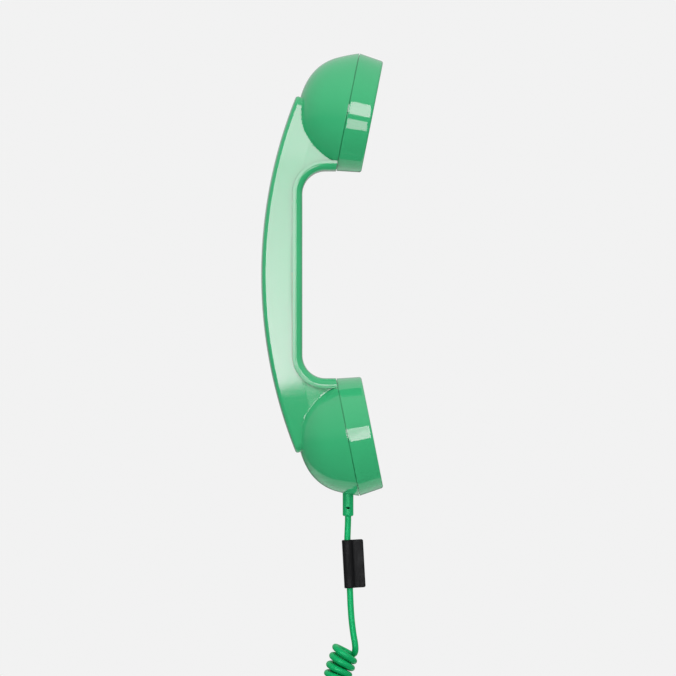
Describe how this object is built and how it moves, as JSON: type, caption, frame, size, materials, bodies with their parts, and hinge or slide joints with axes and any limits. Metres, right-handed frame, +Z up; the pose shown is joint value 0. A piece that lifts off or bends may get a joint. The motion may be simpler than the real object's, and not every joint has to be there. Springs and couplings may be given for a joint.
{
  "type": "telephone handset with curly cord",
  "caption": "One-piece curved telephone handset with round earpiece and mouthpiece cups, a flush sprung button in the grip, a curly cord and a 3.5 mm plug.",
  "frame": {"origin": "middle of the grip, where the hand holds the handset, on its plane of symmetry", "axes": "+Z up along the handset with the earpiece at the top, +X out of the caps towards the head, +Y across the grip; the cord hangs along -Z"},
  "size_m": [0.0577, 0.0568, 0.4397],
  "materials": {
    "shell": "high gloss moulded plastic, mid green",
    "button": "satin moulded plastic, mid green",
    "cord": "satin extruded jacket, saturated green",
    "relief": "smooth moulded rubber, mid green",
    "tag": "matte moulded rubber, near black",
    "plug": "fine textured moulded plastic, black",
    "contact": "polished gold plated contact",
    "insulator": "smooth black insulator",
    "mesh": "fine woven acoustic cloth, black",
    "frame": "plain moulded plastic, black",
    "steel": "bright zinc plated steel",
    "cone": "pressed cone, dark grey",
    "gasket": "soft black foam rubber",
    "capsule": "drawn aluminium can",
    "board": "solder resist over glass laminate, dark green",
    "chip": "epoxy, black",
    "plunger": "moulded nylon, off white",
    "ballast": "sawn steel bar, grey",
    "wire_red": "thin red insulation",
    "wire_blue": "thin blue insulation",
    "core": "thin copper coloured insulation"
  },
  "bodies": {
    "handset": {"rear_shell": "shell", "inner_shell": "shell", "earpiece_cap": "shell", "mouthpiece_cap": "shell", "earpiece_mesh": "mesh", "mouthpiece_mesh": "mesh", "speaker_basket": "frame", "speaker_magnet": "steel", "speaker_cone": "cone", "speaker_gasket": "gasket", "speaker_clamp": "steel", "speaker_screws": "steel", "mic_capsule": "capsule", "mic_boot": "gasket", "mic_holder": "frame", "mic_screws": "steel", "circuit_board": "board", "board_chips": "chip", "board_screws": "steel", "tact_switch": "frame", "ballast_bar": "ballast", "ballast_screws": "steel", "speaker_wires": "wire_red", "mic_wires": "wire_blue", "cord_cores": "core", "strain_relief": "relief", "cord_clamp": "frame", "cord_clamp_screws": "steel", "cord_lead": "cord", "cord_tag": "tag", "cord_coil": "cord"},
    "button": {"button": "button", "switch_plunger": "plunger"},
    "plug": {"cord_tail": "cord", "plug_boot": "plug", "plug_body": "plug", "plug_collar": "steel", "plug_sleeve": "contact", "plug_ring_lower": "contact", "plug_ring_upper": "contact", "plug_tip": "contact", "plug_insulators": "insulator"}
  },
  "joints": [
    {"name": "button_press", "type": "slide", "parent": "handset", "child": "button", "axis": [-1, 0, 0], "range_m": [0, 0.0008], "stiffness_N_per_m": 1500, "springref_m": -0.0008},
    {"name": "cord_stretch", "type": "slide", "parent": "handset", "child": "plug", "axis": [0, 0, -1], "range_m": [0, 0.3], "stiffness_N_per_m": 3, "springref_m": -0.06, "deforming": ["cord_coil"]}
  ]
}
